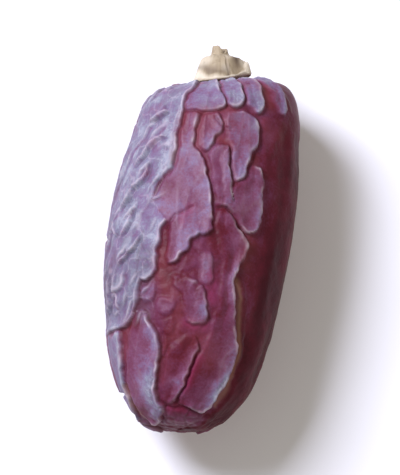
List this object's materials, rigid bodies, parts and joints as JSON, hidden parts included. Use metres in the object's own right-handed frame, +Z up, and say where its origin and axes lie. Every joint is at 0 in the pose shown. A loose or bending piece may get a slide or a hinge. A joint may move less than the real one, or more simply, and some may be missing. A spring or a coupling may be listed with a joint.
{
  "type": "mabroom date",
  "caption": "Long dried date with wrinkled, bloom-dusted skin and a dry woody calyx on its stalk end, lying on its side.",
  "frame": {"origin": "middle of the bounding box in X and Y, on the surface that the date lies on", "axes": "+Y along the date from its tip to its calyx, +X across it, +Z up from the surface that it lies on"},
  "size_m": [0.0246, 0.0523, 0.0224],
  "materials": {
    "date_skin": "dried fruit skin, red-brown and satin, with a lilac bloom on its raised plates",
    "dry_calyx": "dry, matt, fibrous straw-coloured calyx"
  },
  "bodies": {
    "root": {"fruit": "date_skin", "calyx": "dry_calyx"}
  },
  "joints": []
}
